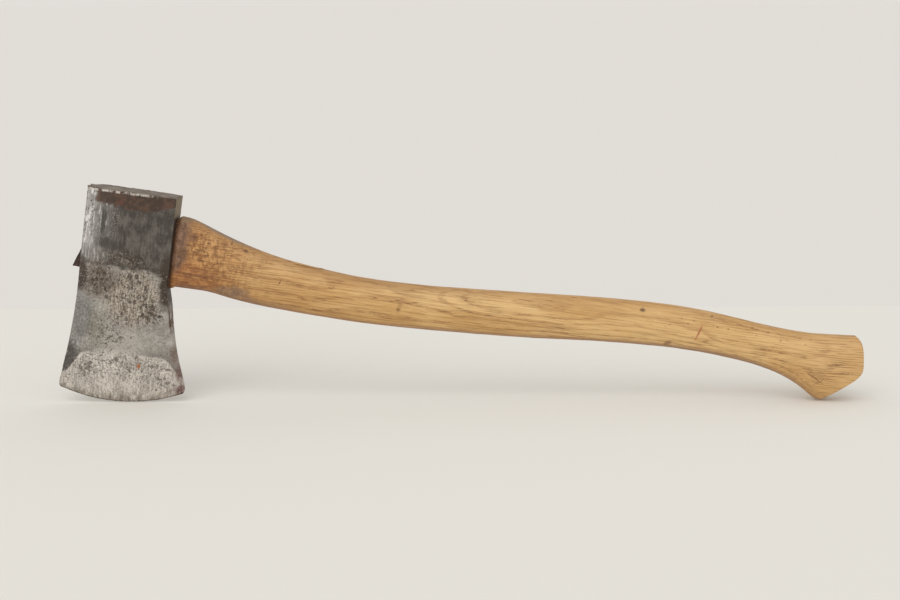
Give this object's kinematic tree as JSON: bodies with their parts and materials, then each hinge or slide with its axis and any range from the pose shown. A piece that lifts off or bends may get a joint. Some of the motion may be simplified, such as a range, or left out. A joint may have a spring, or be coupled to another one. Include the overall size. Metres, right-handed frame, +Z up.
{
  "type": "felling axe",
  "caption": "Felling axe with a forged single-bit head, a flared bit and a curved hickory haft, wedged in the eye.",
  "frame": {"origin": "middle of the footprint, on the ground under the axe as it stands on its cutting edge and the knob's toe", "axes": "+X along the haft from the head to the knob, +Y across the cheeks to the back, +Z up"},
  "size_m": [0.7274, 0.032, 0.199],
  "materials": {
    "head_steel": "old forged steel, patinated and pitted, brighter at the bit",
    "hickory": "worn satin hickory, long grain along the haft",
    "wedge_wood": "dark, dry end grain",
    "wedge_steel": "rusted dark steel"
  },
  "bodies": {
    "root": {"axe_head": "head_steel", "haft": "hickory", "eye_wedge": "wedge_wood", "steel_wedge": "wedge_steel"}
  },
  "joints": []
}
